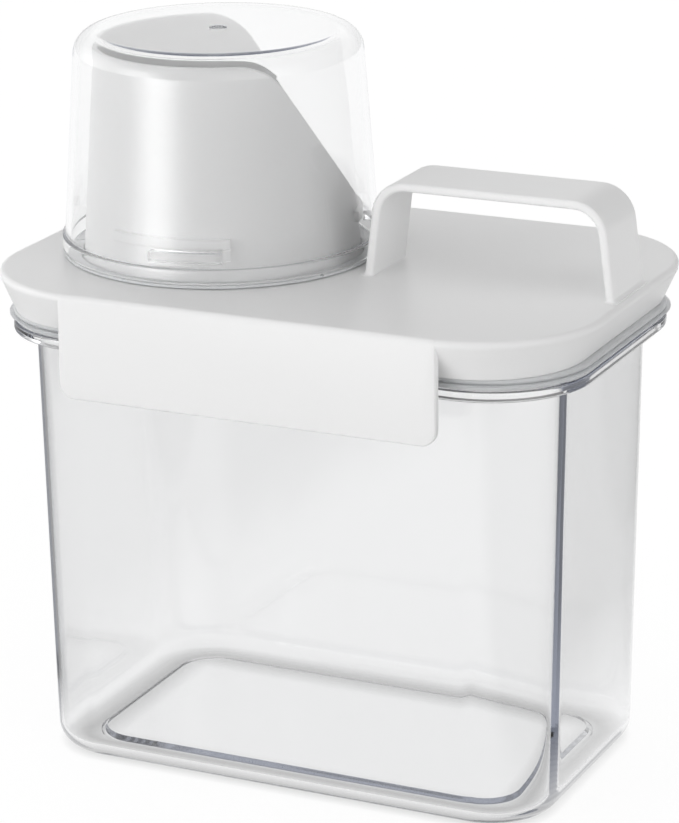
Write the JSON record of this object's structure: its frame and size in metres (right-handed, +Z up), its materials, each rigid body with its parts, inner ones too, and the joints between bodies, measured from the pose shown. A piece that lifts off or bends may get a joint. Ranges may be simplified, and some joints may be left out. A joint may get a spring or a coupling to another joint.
{
  "type": "laundry detergent dispenser",
  "caption": "Clear rounded tub with a white lift-off lid that carries a strap handle, a front pull tab and a slant-cut pouring spout under an upturned clear measuring cup.",
  "frame": {"origin": "centre of the foot on the surface it stands on", "axes": "+Z up, -Y towards the pull tab, +X from the spout towards the handle"},
  "size_m": [0.1966, 0.1356, 0.2285],
  "materials": {
    "clear_tub": "clear, polished",
    "white_lid": "satin white",
    "clear_cup": "clear, polished",
    "seal": "translucent"
  },
  "bodies": {
    "container": {"container": "clear_tub"},
    "lid": {"lid": "white_lid", "lid_gasket": "seal"},
    "cup_ring": {"cup_seal": "seal"},
    "cup": {"cup": "clear_cup"}
  },
  "joints": [
    {"name": "lid_lift", "type": "slide", "parent": "container", "child": "lid", "axis": [0, 0, 1], "range_m": [0, 0.04]},
    {"name": "cup_turn", "type": "hinge", "parent": "lid", "child": "cup_ring", "pos_m": [-0.0402, 0, 0.159], "axis": [0, 0, 1], "range_deg": [-50, 0]},
    {"name": "cup_lift", "type": "slide", "parent": "cup_ring", "child": "cup", "axis": [0, 0, 1], "range_m": [0, 0.07]}
  ]
}
